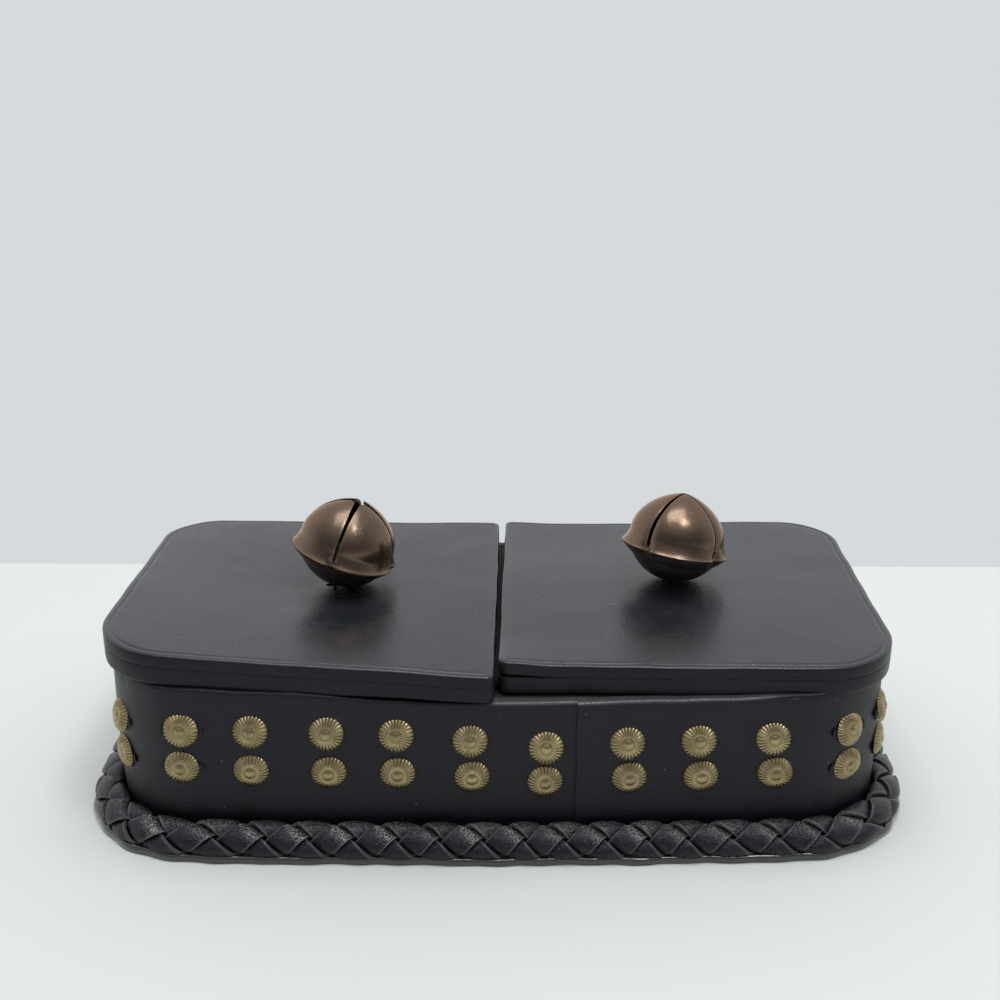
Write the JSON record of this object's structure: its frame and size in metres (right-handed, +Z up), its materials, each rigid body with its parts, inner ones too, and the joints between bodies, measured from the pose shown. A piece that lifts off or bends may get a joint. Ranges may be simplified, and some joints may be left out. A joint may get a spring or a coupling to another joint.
{
  "type": "playing card box",
  "caption": "Leather playing card box with lift-off lids over card wells, petal bell knobs, rosette studs and a plaited foot.",
  "frame": {"origin": "centre of the underside of the sole, on the surface that the box stands on", "axes": "+X to the right along the long front, +Y to the back, +Z up; the front faces -Y"},
  "size_m": [0.2314, 0.124, 0.0798],
  "materials": {
    "box_leather": "waxed",
    "lid_leather": "satin",
    "braid_leather": "waxed",
    "board": "raw",
    "lining": "napped",
    "stud_brass": "aged",
    "bell_bronze": "aged",
    "wire_steel": "dull"
  },
  "bodies": {
    "box": {"sole": "box_leather", "base_board": "board", "inner_wall": "board", "outer_wrap": "box_leather", "divider": "board", "left_floor_pad": "lining", "right_floor_pad": "lining", "braid_strand_1": "braid_leather", "braid_strand_2": "braid_leather", "braid_strand_3": "braid_leather", "braid_strand_4": "braid_leather", "stud_pair_01": "stud_brass", "stud_pair_02": "stud_brass", "stud_pair_03": "stud_brass", "stud_pair_04": "stud_brass", "stud_pair_05": "stud_brass", "stud_pair_06": "stud_brass", "stud_pair_07": "stud_brass", "stud_pair_08": "stud_brass", "stud_pair_09": "stud_brass", "stud_pair_10": "stud_brass", "stud_pair_11": "stud_brass", "stud_pair_12": "stud_brass", "stud_pair_13": "stud_brass", "stud_pair_14": "stud_brass", "stud_pair_15": "stud_brass", "stud_pair_16": "stud_brass", "stud_pair_17": "stud_brass", "stud_pair_18": "stud_brass", "stud_pair_19": "stud_brass", "stud_pair_20": "stud_brass", "stud_pair_21": "stud_brass", "stud_pair_22": "stud_brass", "stud_pair_23": "stud_brass", "stud_pair_24": "stud_brass", "stud_pair_25": "stud_brass", "stud_pair_26": "stud_brass", "stud_pair_27": "stud_brass", "stud_pair_28": "stud_brass", "stud_pair_29": "stud_brass", "stud_pair_30": "stud_brass"},
    "left_lid": {"left_lid_top_leather": "lid_leather", "left_lid_under_leather": "lid_leather", "left_lid_plug": "board", "left_lid_plug_lining": "lining", "left_bell_pin": "wire_steel"},
    "left_bell": {"left_bell_shell": "bell_bronze", "left_bell_shank": "wire_steel"},
    "left_pellet": {"left_bell_pellet": "wire_steel"},
    "right_lid": {"right_lid_top_leather": "lid_leather", "right_lid_under_leather": "lid_leather", "right_lid_plug": "board", "right_lid_plug_lining": "lining", "right_bell_pin": "wire_steel"},
    "right_bell": {"right_bell_shell": "bell_bronze", "right_bell_shank": "wire_steel"},
    "right_pellet": {"right_bell_pellet": "wire_steel"}
  },
  "joints": [
    {"name": "left_lid_lift", "type": "slide", "parent": "box", "child": "left_lid", "axis": [0, 0, 1], "range_m": [0, 0.1]},
    {"name": "left_bell_rock", "type": "hinge", "parent": "left_lid", "child": "left_bell", "pos_m": [-0.05092, 0.00024, 0.0483], "axis": [0.0175, 0.9998, 0], "range_deg": [-17.4, 0]},
    {"name": "left_pellet_roll", "type": "hinge", "parent": "left_bell", "child": "left_pellet", "pos_m": [-0.04471, 0.00101, 0.06805], "axis": [0.0175, 0.9998, 0], "range_deg": [-22.6, 57.4]},
    {"name": "right_lid_lift", "type": "slide", "parent": "box", "child": "right_lid", "axis": [0, 0, 1], "range_m": [0, 0.1]},
    {"name": "right_bell_rock", "type": "hinge", "parent": "right_lid", "child": "right_bell", "pos_m": [0.05021, 0.00348, 0.0483], "axis": [0.007, 1, 0], "range_deg": [-9.6, 0]},
    {"name": "right_pellet_roll", "type": "hinge", "parent": "right_bell", "child": "right_pellet", "pos_m": [0.05357, 0.0059, 0.06805], "axis": [0.007, 1, 0], "range_deg": [-30.4, 49.6]}
  ]
}
